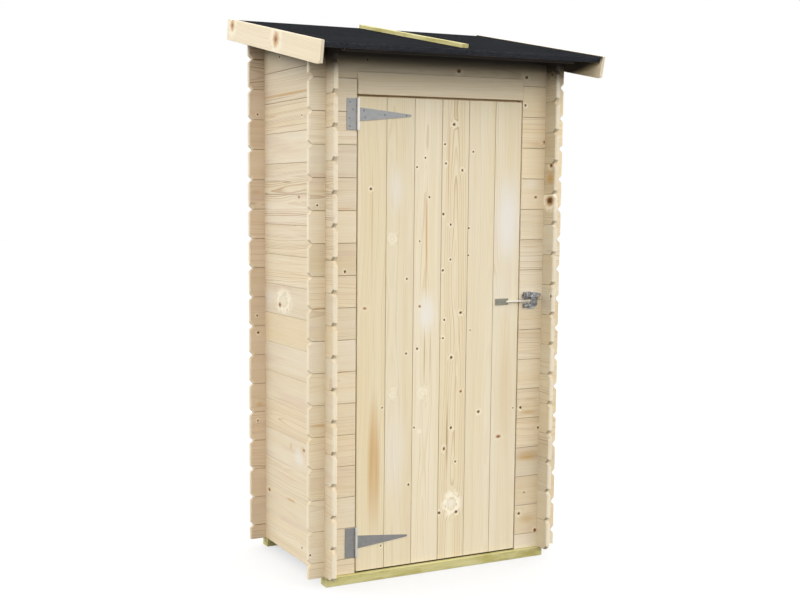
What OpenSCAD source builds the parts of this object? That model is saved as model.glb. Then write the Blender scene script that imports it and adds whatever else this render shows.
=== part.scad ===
// Pent garden shed: a small tool store of notched, interlocking wall boards
// with one ledged door, a felted single-slope roof and two bearers.
// Millimetres. +Z is up, the door faces -Y, and the origin is on the ground
// under the middle of the whole plan.

/* [Walls] */
// Width of the front wall between the doorway and each side wall
jamb_w = 103.5; // [99:0.5:300]
// Depth across the outer faces of the front and back walls
wall_d = 566; // [480:2:900]
// Thickness of the wall boards
wall_t = 19; // [16:1:28]
// Height that one wall board covers
course_h = 115; // [100:1:130]
// Full boards in the front wall, which stand on a half board
front_boards = 16; // [14:1:18]
// How far the front and back wall boards run past the side walls
log_end_x = 65; // [45:1:80]
// How far the side wall boards run past the front and back walls
log_end_y = 65; // [45:1:80]
// Depth of the V cut between two board ends
notch_deep = 13.5; // [6:0.5:18]
// Height of one side of that V cut
notch_rise = 14; // [8:1:20]

/* [Bearers and floor] */
// Height of a bearer
bearer_h = 35; // [28:1:70]
// Width of a bearer
bearer_w = 45; // [38:1:70]
// Thickness of the floor boards
floor_t = 16; // [14:1:24]
// Gap between the floor boards and the walls
floor_gap = 2; // [1:0.5:5]

/* [Roof] */
// Slope of the roof
pitch = 12; // [6:1:18]
// Slope length from the front wall to the front end of the barge boards
roof_front = 186; // [140:1:260]
// Slope length of a barge board
barge_len = 866; // [760:1:1300]
// Height of a barge board
barge_h = 80; // [60:1:110]
// Thickness of a barge board
barge_t = 12; // [10:1:24]
// Height of a barge board's top edge over the underside of the deck
barge_up = 24; // [22:1:36]
// Length of the level cut under a barge board's front end
barge_nose = 20; // [5:1:40]
// Gap between the board ends of the walls and the barge boards
barge_gap = 28.5; // [5:0.5:60]
// Thickness of the deck boards
deck_t = 18; // [12:1:22]
// How far the deck stops short of the front ends of the barge boards
deck_back_off = 16; // [8:1:30]
// Thickness of the roofing felt, with its lap
felt_t = 3; // [2:0.5:4]
// Width of the batten over the felt's seam
seam_w = 28; // [20:1:45]
// Height of that batten
seam_h = 14; // [8:1:25]
// Place of that batten to the right of the middle
seam_x = 8; // [-60:1:60]
// Slope length from the felt's front edge to that batten
seam_off = 45; // [10:1:120]
// Width of the batten under the front edge of the deck
eave_w = 28; // [20:1:40]
// Height of that batten
eave_h = 11; // [8:1:20]
// Slope length from the deck's front edge to that batten
eave_off = 22; // [5:1:40]

/* [Door] */
// Width of the door leaf
leaf_w = 690; // [600:5:760]
// Thickness of the door boards
leaf_t = 16; // [14:1:19]
// Gap at each side of the door
side_gap = 5; // [5:0.5:8]
// Gap over the door
top_gap = 8; // [5:0.5:12]
// Gap under the door
sill_gap = 5; // [5:0.5:15]
// Full board heights up to the gap over the door
door_boards = 15; // [12:1:16]
// How far the head board reaches up into a notch in the board over it
head_notch = 25; // [10:1:40]
// Height of the door's ledges
ledge_h = 90; // [60:1:120]
// Thickness of the door's ledges and brace
ledge_t = 19; // [16:1:22]
// Gap between a ledge's end and the edge of the leaf
ledge_inset = 15; // [13:1:40]
// Width of the door's brace, measured level
brace_w = 100; // [60:1:140]

/* [Door frame] */
// Width of a jamb post
post_w = 44; // [34:1:60]
// Depth of a jamb post
post_d = 28; // [20:1:40]
// How far the posts and the head stop reach behind the leaf's edge
stop_lip = 10; // [6:1:15]

/* [Hinges] */
// Height of a hinge's fixed plate
plate_h = 110; // [90:1:140]
// Width of a hinge's fixed plate, to the middle of the pin
plate_w = 43.5; // [30:0.5:60]
// Thickness of the hinge plates and straps
hinge_t = 2.5; // [2:0.1:4]
// Length of a strap, from the middle of the pin
strap_len = 215; // [150:5:300]
// Height of a strap at the pin
strap_root_h = 49; // [30:1:60]
// Height of a strap at its round tip
strap_tip_h = 8; // [6:1:20]
// Radius of the knuckles
knuckle_r = 5; // [4.5:0.1:6]
// Radius of the pins
pin_r = 2.5; // [2:0.1:3]
// Height of the bottom hinge's middle over the walls' underside
bottom_hinge_z = 116; // [80:1:200]
// Distance from the door's top to the top hinge's middle
top_hinge_down = 62; // [60:1:200]

/* [Latch] */
// Height of the latch over the walls' underside
latch_z = 975; // [700:5:1200]
// Width of the striker's plate
striker_w = 57; // [40:1:80]
// Height of the striker's plate
striker_h = 24; // [18:1:40]
// Thickness of the striker's plate
striker_t = 3; // [2:0.5:4]
// Gap from the striker's plate to the edge of the leaf
striker_inset = 47; // [20:1:80]
// Radius of the striker's bar
bar_r = 4; // [3:0.5:5]
// Reach of the bar past the edge of the leaf
bar_reach = 49; // [46:1:60]
// Height of the catch's base plate
catch_h = 64; // [56:1:80]
// Width of the catch's base plate
catch_w = 84; // [70:1:95]
// Free space over and under the bar in the catch's mouth
mouth_gap = 5; // [4:0.5:8]
// Angle that the pawl drops from its lifted place
pawl_drop = 80; // [70:1:85]

/* [Hidden] */
$fn = 48;

eps = 0.5;             // overlap where solids of one piece are fused
knuckle_gap = 0.6;     // end play between two knuckles of a hinge
pin_slack = 0.05;      // radial running clearance round a pin
pin_head = 1.5;        // height of a peened pin head
post_clear = 1;        // gap between the head board and the posts' wall boards

opening_half = leaf_w / 2 + side_gap;
half_w = opening_half + jamb_w + wall_t; // to the side walls' outer faces
half_d = wall_d / 2;
face_y = -half_d;                        // outer face of the front wall
inner_y = face_y + wall_t;               // inner face of the front wall
opening_top = (door_boards + 0.5) * course_h;
front_h = (front_boards + 0.5) * course_h;      // front wall at its outer face
leaf_top = door_boards * course_h - top_gap / 2 + 1;
head_bottom = leaf_top + top_gap;

// The roof's own frame: s runs up the slope from over the front wall's outer
// face, and u stands square on the underside of the deck.
deck_front = -roof_front + deck_back_off;
roof_back = barge_len - roof_front;
deck_back = roof_back - felt_t - 5;
deck_half = half_w + log_end_x + barge_gap;
felt_front = deck_front - felt_t;
felt_top = deck_t + felt_t;
barge_down = barge_h - barge_up;

function slope_y(s, u) = face_y + s * cos(pitch) - u * sin(pitch);
function slope_z(s, u) = front_h + s * sin(pitch) + u * cos(pitch);
// Height of the deck's underside over a place in the plan
function deck_z(y) = front_h + (y - face_y) * tan(pitch);

// The plan's middle lies between the barge boards' farthest corners
plan_y = -(slope_y(-roof_front, barge_up) + slope_y(roof_back, -barge_down)) / 2;
wall_top = deck_z(half_d + log_end_y);
joints = ceil(wall_top / course_h);      // enough courses for the highest wall

// Hinge line, just in front of the gap at the door's left edge
hinge_x = -leaf_w / 2 - side_gap / 2;
hinge_y = face_y - knuckle_r - 1;
top_hinge_z = leaf_top - top_hinge_down;
bore_r = pin_r + pin_slack;

// Latch
bar_y = face_y - striker_t - bar_r + eps;
bar_end = leaf_w / 2 + bar_reach;
striker_x = leaf_w / 2 - striker_inset - striker_w;
catch_x = opening_half + 12;
cheek_t = 2.5;
cheek_x = [catch_x + 6, catch_x + 26];
catch_t = 2.5;
mouth_half = bar_r + mouth_gap;
mouth_len = 38;
jaw_t = 7;
pivot_y = bar_y - bar_r - 6.5;
pivot_z = latch_z + mouth_half + 12;
cheek_r = 13;
pawl_t = 10;
pawl_finger = 26;
pawl_width = 8;
pawl_boss_r = 7;
pawl_x = (cheek_x[0] + cheek_t + cheek_x[1]) / 2 - pawl_t / 2;

module on_ground() {
    translate([0, plan_y, bearer_h]) children();
}

module on_roof() {
    translate([0, face_y, front_h]) rotate([pitch, 0, 0]) children();
}

// V cut at the end of the boards, drawn as the diamond it is half of
module end_notch() {
    polygon([[-notch_deep, 0], [0, -notch_rise], [notch_deep, 0], [0, notch_rise]]);
}

// Half-height laps that the crossing wall's boards fill, from the first one's
// middle height upwards
module laps(at, first) {
    for (k = [0:joints])
        translate([at - wall_t / 2, (k + first) * course_h - course_h / 4])
            square([wall_t, course_h / 2]);
}

// A side wall seen from the side: its depth along x, its height along y
module side_face() {
    reach = half_d + log_end_y;
    difference() {
        polygon([
            [-reach, 0], [reach, 0],
            [reach, deck_z(reach)], [-reach, deck_z(-reach)]
        ]);
        for (end = [-1, 1], k = [0:joints])
            translate([end * reach, k * course_h]) end_notch();
        for (end = [-1, 1])
            laps(end * (half_d - wall_t / 2), 0);
    }
}

// A front or back wall seen from the front, between two heights
module cross_face(low, high) {
    reach = half_w + log_end_x;
    difference() {
        translate([-reach, low]) square([2 * reach, high - low]);
        for (end = [-1, 1], k = [0:joints])
            translate([end * reach, (k + 0.5) * course_h]) end_notch();
        for (end = [-1, 1])
            laps(end * (half_w - wall_t / 2), 0.5);
    }
}

// Stands a drawing of a front or back wall up, with its outer face at y
module stand_cross(y) {
    translate([0, y + wall_t, 0]) rotate([90, 0, 0]) linear_extrude(wall_t) children();
}

module side_wall(x) {
    translate([x - wall_t / 2, 0, 0]) rotate([90, 0, 90])
        linear_extrude(wall_t) side_face();
}

// Everything below the underside of the deck
module under_deck() {
    on_roof() translate([-2 * half_w, -half_d, -2 * front_h])
        cube([4 * half_w, 4 * half_d, 2 * front_h]);
}

module wood(shade = [0.90, 0.82, 0.66]) {
    color(shade) children();
}

module treated() {
    color([0.76, 0.75, 0.48]) children();
}

module steel() {
    color([0.62, 0.63, 0.65]) children();
}

module bearer(y) {
    treated() on_ground()
        translate([-half_w, y - bearer_w / 2, -bearer_h])
            cube([2 * half_w, bearer_w, bearer_h]);
}

module front_bearer() {
    bearer(-half_d + wall_t / 2);
}

module back_bearer() {
    bearer(half_d - wall_t / 2);
}

module floor_boards() {
    room_w = 2 * (half_w - wall_t - floor_gap);
    room_d = wall_d - 2 * (wall_t + floor_gap);
    wood([0.86, 0.77, 0.60]) on_ground()
        translate([-room_w / 2, -room_d / 2, 0]) cube([room_w, room_d, floor_t]);
}

module left_wall() {
    wood() on_ground() side_wall(-half_w + wall_t / 2);
}

module right_wall() {
    wood() on_ground() side_wall(half_w - wall_t / 2);
}

module back_wall() {
    top = deck_z(half_d) + 1;
    wood() on_ground() intersection() {
        stand_cross(half_d - wall_t) cross_face(0, top);
        under_deck();
    }
}

// One side of the doorway: side is -1 on the left and 1 on the right
module front_wall_beside(side) {
    width = half_w + log_end_x - opening_half;
    middle = side * (opening_half + width / 2);
    wood() on_ground() stand_cross(face_y) intersection() {
        cross_face(0, opening_top);
        translate([middle - width / 2, 0]) square([width, opening_top]);
    }
}

module front_wall_left() {
    front_wall_beside(-1);
}

module front_wall_right() {
    front_wall_beside(1);
}

module front_wall_top() {
    wood() on_ground() intersection() {
        stand_cross(face_y) difference() {
            cross_face(opening_top, deck_z(inner_y) + 1);
            translate([-opening_half, opening_top - eps])
                square([2 * opening_half, head_notch + eps]);
        }
        under_deck();
    }
}

module door_head_board() {
    half = opening_half - post_clear;
    wood([0.84, 0.76, 0.60]) on_ground()
        translate([-half, face_y, head_bottom])
            cube([2 * half, wall_t, opening_top + head_notch - head_bottom]);
}

// Batten behind the head board, which the door's top edge closes against
module door_head_stop() {
    half = opening_half - side_gap - stop_lip;
    low = leaf_top - stop_lip;
    wood([0.86, 0.77, 0.60]) on_ground()
        translate([-half, inner_y, low]) cube([2 * half, post_d, post_w]);
}

module jamb_post(side) {
    lip_x = opening_half - side_gap - stop_lip;
    wood([0.86, 0.77, 0.60]) on_ground()
        translate([side * (lip_x + post_w / 2) - post_w / 2, inner_y, floor_t])
            cube([post_w, post_d, opening_top - floor_t]);
}

module left_jamb_post() {
    jamb_post(-1);
}

module right_jamb_post() {
    jamb_post(1);
}

module roof_deck() {
    wood([0.84, 0.76, 0.60]) on_ground() on_roof()
        translate([-deck_half, deck_front, 0])
            cube([2 * deck_half, deck_back - deck_front, deck_t]);
}

// Felt over the deck, folded down over its front and back edges
module roof_felt() {
    color([0.19, 0.20, 0.22]) on_ground() on_roof()
        translate([-deck_half, 0, 0]) rotate([90, 0, 90]) linear_extrude(2 * deck_half)
            polygon([
                [felt_front, 0], [deck_front, 0], [deck_front, deck_t],
                [deck_back, deck_t], [deck_back, 0], [deck_back + felt_t, 0],
                [deck_back + felt_t, felt_top], [felt_front, felt_top]
            ]);
}

module roof_seam_batten() {
    start = felt_front + seam_off;
    treated() on_ground() on_roof()
        translate([seam_x - seam_w / 2, start, felt_top])
            cube([seam_w, deck_back + felt_t - start, seam_h]);
}

// Batten that ties the deck boards together behind the front edge
module eave_batten() {
    wood() on_ground() on_roof()
        translate([-half_w, deck_front + eave_off, -eave_h])
            cube([2 * half_w, eave_w, eave_h]);
}

// A board at the roof's side, with a level cut under its front end
module barge_board(side) {
    nose_rise = barge_nose * tan(pitch);
    inner = side > 0 ? deck_half : -deck_half - barge_t;
    wood([0.95, 0.88, 0.72]) on_ground() on_roof()
        translate([inner, 0, 0]) rotate([90, 0, 90]) linear_extrude(barge_t)
            polygon([
                [-roof_front, barge_up], [-roof_front, -barge_down + nose_rise],
                [-roof_front + barge_nose, -barge_down],
                [roof_back, -barge_down], [roof_back, barge_up]
            ]);
}

module left_barge_board() {
    barge_board(-1);
}

module right_barge_board() {
    barge_board(1);
}

// Plate screwed to the wall, with the outer two knuckles of the hinge
module hinge_plate(z) {
    mid_half = strap_root_h / 2 + knuckle_gap;
    barrel_h = plate_h / 2 - mid_half;
    steel() on_ground() translate([hinge_x, hinge_y, z]) difference() {
        union() {
            translate([-plate_w, face_y - hinge_y - hinge_t, -plate_h / 2])
                cube([plate_w, hinge_t, plate_h]);
            for (low = [-plate_h / 2, mid_half])
                translate([0, 0, low]) cylinder(r = knuckle_r, h = barrel_h);
        }
        translate([-knuckle_r - 1.5, -2 * knuckle_r, -mid_half])
            cube([3 * knuckle_r, 4 * knuckle_r, 2 * mid_half]);
        translate([0, 0, -plate_h]) cylinder(r = bore_r, h = 2 * plate_h);
    }
}

// Tapered strap screwed to the door, with the hinge's middle knuckle
module hinge_strap(z) {
    back = face_y - hinge_y;
    tip_r = strap_tip_h / 2;
    steel() on_ground() translate([hinge_x, hinge_y, z]) difference() {
        union() {
            translate([0, back, 0]) rotate([90, 0, 0]) linear_extrude(hinge_t) {
                polygon([
                    [0, -strap_root_h / 2], [strap_len - tip_r, -tip_r],
                    [strap_len - tip_r, tip_r], [0, strap_root_h / 2]
                ]);
                translate([strap_len - tip_r, 0]) circle(r = tip_r);
            }
            translate([0, 0, -strap_root_h / 2])
                cylinder(r = knuckle_r, h = strap_root_h);
        }
        translate([0, 0, -strap_root_h])
            cylinder(r = bore_r, h = 2 * strap_root_h);
    }
}

module hinge_pin(z) {
    steel() on_ground() translate([hinge_x, hinge_y, z]) {
        translate([0, 0, -plate_h / 2 - eps]) cylinder(r = pin_r, h = plate_h + 2 * eps);
        for (low = [-plate_h / 2 - pin_head, plate_h / 2])
            translate([0, 0, low]) cylinder(r = pin_r + 1, h = pin_head);
    }
}

module top_hinge_plate() {
    hinge_plate(top_hinge_z);
}

module bottom_hinge_plate() {
    hinge_plate(bottom_hinge_z);
}

module top_hinge_strap() {
    hinge_strap(top_hinge_z);
}

module bottom_hinge_strap() {
    hinge_strap(bottom_hinge_z);
}

module top_hinge_pin() {
    hinge_pin(top_hinge_z);
}

module bottom_hinge_pin() {
    hinge_pin(bottom_hinge_z);
}

// Outline of the catch, from its left end at the bar's height: two rounded
// jaws that meet in a neck, drawn in shares of its width and half its height
module catch_outline() {
    w = catch_w;
    h = catch_h / 2;
    polygon([
        [0, mouth_half], [mouth_len, mouth_half], [mouth_len, -mouth_half],
        [0.05 * w, -mouth_half], [0.05 * w, -0.75 * h], [0.1 * w, -0.85 * h],
        [0.35 * w, -0.93 * h], [0.5 * w, -h], [0.64 * w, -0.97 * h],
        [0.76 * w, -0.8 * h], [0.84 * w, -0.5 * h], [0.85 * w, 0.2 * h],
        [0.98 * w, 0.6 * h], [w, 0.72 * h], [0.98 * w, 0.8 * h],
        [0.8 * w, 0.93 * h], [0.6 * w, h], [0.22 * w, h],
        [0.1 * w, 0.95 * h], [0.03 * w, 0.83 * h], [0, 0.65 * h]
    ]);
}

// The same without what lies under the upper jaw or left of the cheeks
module upper_jaw() {
    start = cheek_x[1] - catch_x;
    intersection() {
        catch_outline();
        polygon([
            [start, mouth_half], [0.55 * catch_w, mouth_half],
            [catch_w, 0.3 * catch_h], [catch_w, catch_h], [start, catch_h]
        ]);
    }
}

// Catch on the wall: a base plate and two cheeks whose mouth opens outwards
module latch_catch() {
    lip = 14;
    jaw_z = -catch_h * 0.4;
    steel() on_ground() translate([0, face_y, latch_z]) difference() {
        union() {
            translate([catch_x, 0, 0]) rotate([90, 0, 0]) {
                linear_extrude(catch_t) catch_outline();
                linear_extrude(jaw_t) upper_jaw();
            }
            for (x = cheek_x) translate([x, 0, 0]) {
                translate([0, pivot_y - face_y, 0])
                    cube([cheek_t, face_y - eps - pivot_y, pivot_z + cheek_r - latch_z]);
                translate([0, pivot_y - face_y, pivot_z - latch_z]) rotate([0, 90, 0])
                    cylinder(r = cheek_r, h = cheek_t);
            }
            translate([cheek_x[0], 0, 0]) rotate([90, 0, 90])
                linear_extrude(cheek_x[1] + cheek_t - cheek_x[0])
                    polygon([
                        [-eps, jaw_z], [-lip + 3, jaw_z + 4], [-lip, jaw_z + 7],
                        [-lip + 2, jaw_z + 10], [-eps, -mouth_half + eps]
                    ]);
        }
        translate([catch_x - eps, -3 * cheek_r, -mouth_half])
            cube([mouth_len + eps, 4 * cheek_r, 2 * mouth_half]);
        translate([catch_x, pivot_y - face_y, pivot_z - latch_z]) rotate([0, 90, 0])
            cylinder(r = bore_r, h = catch_w);
    }
}

module latch_pin() {
    steel() on_ground() translate([0, pivot_y, pivot_z]) rotate([0, 90, 0]) {
        translate([0, 0, cheek_x[0] - eps])
            cylinder(r = pin_r, h = cheek_x[1] - cheek_x[0] + cheek_t + 2 * eps);
        for (x = [cheek_x[0] - pin_head, cheek_x[1] + cheek_t])
            translate([0, 0, x]) cylinder(r = pin_r + 1, h = pin_head);
    }
}

// Pawl in its lifted place: a finger that drops in front of the bar, and a
// thumb lever that stands up
module latch_pawl() {
    lever = 15;
    pad_w = 16;
    steel() on_ground() translate([pawl_x, pivot_y, pivot_z]) difference() {
        union() {
            rotate([0, 90, 0]) cylinder(r = pawl_boss_r, h = pawl_t);
            translate([0, -pawl_finger, -pawl_width / 2])
                cube([pawl_t, pawl_finger, pawl_width]);
            translate([0, -pawl_width / 2, 0]) cube([pawl_t, pawl_width, lever]);
            translate([(pawl_t - pad_w) / 2, -pawl_width / 2, lever - 7])
                cube([pad_w, pawl_width, 7]);
        }
        translate([-1, 0, 0]) rotate([0, 90, 0]) cylinder(r = bore_r, h = pawl_t + 2);
    }
}

module door_leaf() {
    wood() on_ground()
        translate([-leaf_w / 2, face_y, sill_gap])
            cube([leaf_w, leaf_t, leaf_top - sill_gap]);
}

module ledge(z) {
    half = leaf_w / 2 - ledge_inset;
    wood([0.86, 0.77, 0.60]) on_ground()
        translate([-half, face_y + leaf_t, z - ledge_h / 2])
            cube([2 * half, ledge_t, ledge_h]);
}

module door_top_ledge() {
    ledge(top_hinge_z);
}

module door_bottom_ledge() {
    ledge(bottom_hinge_z);
}

// Brace that rises from the bottom ledge at the hinges to the top ledge
module door_brace() {
    low = bottom_hinge_z + ledge_h / 2;
    high = top_hinge_z - ledge_h / 2;
    foot = -leaf_w / 2 + ledge_inset + ledge_t / 2;
    wood([0.86, 0.77, 0.60]) on_ground()
        translate([0, face_y + leaf_t + ledge_t, 0]) rotate([90, 0, 0])
            linear_extrude(ledge_t) polygon([
                [foot, low], [foot + brace_w, low], [-foot, high], [-foot - brace_w, high]
            ]);
}

// Striker on the door: a plate with a round bar that runs into the catch
module latch_striker() {
    overlap = 12;
    bar_start = striker_x + striker_w - overlap;
    steel() on_ground() {
        translate([striker_x, face_y - striker_t, latch_z - striker_h / 2])
            cube([striker_w, striker_t, striker_h]);
        translate([bar_start, bar_y, latch_z]) rotate([0, 90, 0])
            cylinder(r = bar_r, h = bar_end - bar_start);
    }
}

front_bearer();
back_bearer();
floor_boards();
left_wall();
right_wall();
back_wall();
front_wall_left();
front_wall_right();
front_wall_top();
door_head_board();
door_head_stop();
left_jamb_post();
right_jamb_post();
roof_deck();
roof_felt();
roof_seam_batten();
eave_batten();
left_barge_board();
right_barge_board();
top_hinge_plate();
bottom_hinge_plate();
top_hinge_pin();
bottom_hinge_pin();
latch_catch();
latch_pin();
door_leaf();
door_top_ledge();
door_bottom_ledge();
door_brace();
top_hinge_strap();
bottom_hinge_strap();
latch_striker();
latch_pawl();
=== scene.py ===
import math
import random

import bmesh
import bpy
from mathutils import Matrix, Vector


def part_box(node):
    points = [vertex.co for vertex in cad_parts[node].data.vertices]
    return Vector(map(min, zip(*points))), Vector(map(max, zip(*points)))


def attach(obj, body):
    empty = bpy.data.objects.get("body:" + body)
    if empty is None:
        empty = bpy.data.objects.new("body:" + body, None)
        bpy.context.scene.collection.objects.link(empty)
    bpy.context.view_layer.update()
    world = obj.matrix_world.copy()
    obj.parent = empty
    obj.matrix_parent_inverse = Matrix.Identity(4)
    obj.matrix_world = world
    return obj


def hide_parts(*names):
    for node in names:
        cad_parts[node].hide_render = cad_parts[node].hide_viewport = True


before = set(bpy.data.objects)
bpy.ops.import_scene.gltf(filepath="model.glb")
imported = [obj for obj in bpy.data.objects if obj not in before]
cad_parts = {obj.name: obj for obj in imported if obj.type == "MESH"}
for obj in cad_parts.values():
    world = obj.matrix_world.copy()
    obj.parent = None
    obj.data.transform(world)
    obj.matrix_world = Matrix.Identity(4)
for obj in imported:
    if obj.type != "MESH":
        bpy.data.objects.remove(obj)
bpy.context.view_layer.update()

# ---- Sizes in metres. What the frame gives is read from it. ----
MM = 0.001
COURSE = 115 * MM          # height that one wall board covers
NOTCH_DEEP = 13.5 * MM     # the V cut between two board ends
NOTCH_RISE = 14 * MM
PITCH = math.radians(12)
BARGE_NOSE = 20 * MM       # the level cut under a barge board's front end

left_low, left_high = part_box("left_wall")
front_low, front_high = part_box("front_wall_left")
BASE = left_low.z                          # underside of the walls
WALL = left_high.x - left_low.x            # thickness of the wall boards
HALF_W = -left_low.x                       # to the side walls' outer faces
FACE = front_low.y                         # outer face of the front wall
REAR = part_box("back_wall")[1].y            # outer face of the back wall
MIDDLE = (FACE + REAR) / 2
SIDE_REACH = (left_high.y - left_low.y) / 2
CROSS_REACH = -front_low.x
DOORWAY = -front_high.x                    # half its width
EAVE_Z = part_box("front_wall_top")[1].z - WALL * math.tan(PITCH)
LAP = COURSE / 4

# Joints between boards
GAP = 0.7 * MM
WALL_BEVEL = 1.5 * MM
DOOR_BEVEL = 1.4 * MM
SHOULDER = 5 * MM          # depth of a joint, down to its tongue
EASE = 0.6 * MM            # easing of a sawn or planed edge
ROUND = 5 * MM             # rounding of the wall boards' ends


def deck_z(y):
    """Height of the roof deck's underside over a place in the plan."""
    return EAVE_Z + (y - FACE) * math.tan(PITCH)


def plane(origin, across, up, inward):
    """Matrix of a drawing plane, from its x, its y and its depth direction."""
    place = Matrix((across, up, inward)).transposed().to_4x4()
    place.translation = origin
    return place


FRONT = plane((0, FACE, BASE), (1, 0, 0), (0, 0, 1), (0, 1, 0))
BACK = plane((0, REAR, BASE), (1, 0, 0), (0, 0, 1), (0, -1, 0))
LEFT = plane((-HALF_W, MIDDLE, BASE), (0, 1, 0), (0, 0, 1), (1, 0, 0))
RIGHT = plane((HALF_W, MIDDLE, BASE), (0, 1, 0), (0, 0, 1), (-1, 0, 0))
FLOOR = plane((0, 0, 0), (1, 0, 0), (0, 1, 0), (0, 0, 1))
ROOF = Matrix.Translation((0, FACE, EAVE_Z)) @ Matrix.Rotation(PITCH, 4, "X")


def extent(spots):
    """Lowest and highest corner of the box round some points."""
    return [Vector([pick(spot[i] for spot in spots) for i in range(3)]) for pick in (min, max)]


def box_in(node, place):
    """Extent of a CAD node, measured in a plane's own directions."""
    inverse = place.inverted()
    return extent([inverse @ vertex.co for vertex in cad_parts[node].data.vertices])


# ---- Outlines: lists of (corner, kind of the edge that starts there) ----
IN_JOINT, WORN, NOTCHED = 1, 2, 3      # what a solid's layer "edge" says of its faces


def rectangle(low, high, left="free", right="free"):
    corners = [low, (high[0], low[1]), high, (low[0], high[1])]
    return list(zip(map(Vector, corners), ("free", right, "free", left)))


def free_outline(*corners):
    return [(Vector(corner), "free") for corner in corners]


def wall_board(low, reach, cross, top="joint"):
    """A board with V-cut ends, and laps where it crosses the walls at +-cross."""
    high = low + COURSE
    edge = reach - NOTCH_DEEP
    inner = cross - WALL
    right = [
        ((inner, low), "lap"),
        ((inner, low + LAP), "lap"),
        ((cross, low + LAP), "lap"),
        ((cross, low), "joint"),
        ((edge, low), "notch"),
        ((reach, low + NOTCH_RISE), "end"),
        ((reach, high - NOTCH_RISE), "notch"),
        ((edge, high), top),
        ((cross, high), "lap"),
        ((cross, high - LAP), "lap"),
        ((inner, high - LAP), "lap"),
        ((inner, high), top),
    ]
    kinds = [kind for _, kind in right]
    left = [
        ((-x, y), kinds[i - 1] if i else "joint")
        for i, ((x, y), _) in reversed(list(enumerate(right)))
    ]
    return [(Vector(corner), kind) for corner, kind in right + left]


def with_recess(outline, half, rise):
    """Cuts the middle of a board's lower edge away, up to a height over it."""
    low = outline[-1][0].y
    corners = [(-half, low), (-half, low + rise), (half, low + rise), (half, low)]
    kinds = ["free", "joint", "free", "joint"]
    return outline + [(Vector(corner), kind) for corner, kind in zip(corners, kinds)]


def clip(outline, point, normal):
    """Keeps what lies on the side of a line that the normal points to."""
    point, normal = Vector(point), Vector(normal)
    kept = []
    for i, (here, own_kind) in enumerate(outline):
        after = outline[(i + 1) % len(outline)][0]
        from_line = (here - point).dot(normal)
        to_line = (after - point).dot(normal)
        if from_line >= 0:
            kept.append((here, own_kind))
        if (from_line >= 0) != (to_line >= 0):
            crossing = here.lerp(after, from_line / (from_line - to_line))
            kept.append((crossing, "free" if from_line >= 0 else own_kind))
    return [
        (corner, own_kind)
        for i, (corner, own_kind) in enumerate(kept)
        if (corner - kept[(i + 1) % len(kept)][0]).length > 0.01 * MM
    ]


def inset(outline, amounts):
    """Moves each edge of an outline inwards by the amount for its kind."""
    moved = []
    for i, (here, kind) in enumerate(outline):
        before, kind_before = outline[i - 1]
        after = outline[(i + 1) % len(outline)][0]
        way_in = (here - before).normalized()
        way_out = (after - here).normalized()
        start = here + Vector((-way_in.y, way_in.x)) * amounts.get(kind_before, 0)
        end = here + Vector((-way_out.y, way_out.x)) * amounts.get(kind, 0)
        turn = way_in.x * way_out.y - way_in.y * way_out.x
        if abs(turn) < 1e-6:
            moved.append(start)
            continue
        gap = end - start
        moved.append(start + way_in * (gap.x * way_out.y - gap.y * way_out.x) / turn)
    return moved


def board_layers(thick, bevel=WALL_BEVEL, ease=EASE):
    """How a board's outline draws in through its thickness, by the kind of its edges."""
    outer = [
        (0, {"joint": GAP / 2 + bevel, "free": ease, "notch": ROUND, "end": ROUND}),
        (bevel, {"joint": GAP / 2, "notch": 0.4 * ROUND, "end": 0.4 * ROUND}),
        (SHOULDER, {"joint": GAP / 2, "notch": 0.1 * ROUND, "end": 0.1 * ROUND}),
        (SHOULDER + GAP / 2, {}),
    ]
    return outer + [(thick - depth, amounts) for depth, amounts in reversed(outer)]


def plain_layers(thick, ease=EASE):
    return [(0, {"free": ease}), (ease, {}), (thick - ease, {}), (thick, {"free": ease})]


def slab(outline, layers, start=0):
    """A closed solid through the layers of one outline. It marks joints and worn edges."""
    solid = bmesh.new()
    edge = solid.faces.layers.int.new("edge")
    marks = {"joint": IN_JOINT, "notch": NOTCHED, "end": WORN}
    rings = [
        [solid.verts.new((*corner, start + depth)) for corner in inset(outline, amounts)]
        for depth, amounts in layers
    ]
    count = len(outline)
    for k, (low, high) in enumerate(zip(rings, rings[1:])):
        for i in range(count):
            j = (i + 1) % count
            side = solid.faces.new((low[i], low[j], high[j], high[i]))
            if outline[i][1] in marks:
                side[edge] = marks[outline[i][1]]
            elif outline[i][1] == "free" and k in (0, len(layers) - 2):
                side[edge] = WORN
    solid.faces.new(rings[0][::-1])
    solid.faces.new(rings[-1])
    return solid


def ring_of(solid, place, corners, depth):
    return [solid.verts.new(place @ Vector((x, y, depth))) for x, y in corners]


def join_rings(solid, first, second):
    for i in range(len(first)):
        j = (i + 1) % len(first)
        solid.faces.new((first[i], first[j], second[j], second[i]))


def stick(low, high, ease):
    """A squared length of timber with rounded edges."""
    solid = bmesh.new()
    bmesh.ops.create_cube(solid, size=1)
    bmesh.ops.scale(solid, vec=high - low, verts=solid.verts)
    bmesh.ops.translate(solid, vec=(high + low) / 2, verts=solid.verts)
    edge = solid.faces.layers.int.new("edge")
    rounded = bmesh.ops.bevel(
        solid, geom=solid.edges[:], offset=ease, segments=2, profile=0.5, affect="EDGES"
    )
    for face in rounded["faces"]:
        face[edge] = WORN
    return solid


# ---- Timber: boards with their own grain, tone, knots and stains ----
KNOT_REACH = 5             # how far a knot bends the grain, in its own radii
KNOT_SLOTS = 3             # knots that one face can show
STAIN_SLOTS = 3
RING = 4.2 * MM            # width of one year's growth
SCATTER_MARGIN = 8         # millimetres from a board's edges to a random knot
LOOSE_KNOTS = 0.6          # random knots in each metre of a board
DEAD, SOUND, GHOST = 0, 1, 2
NO_MARK = (9, 9, 0)

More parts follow.
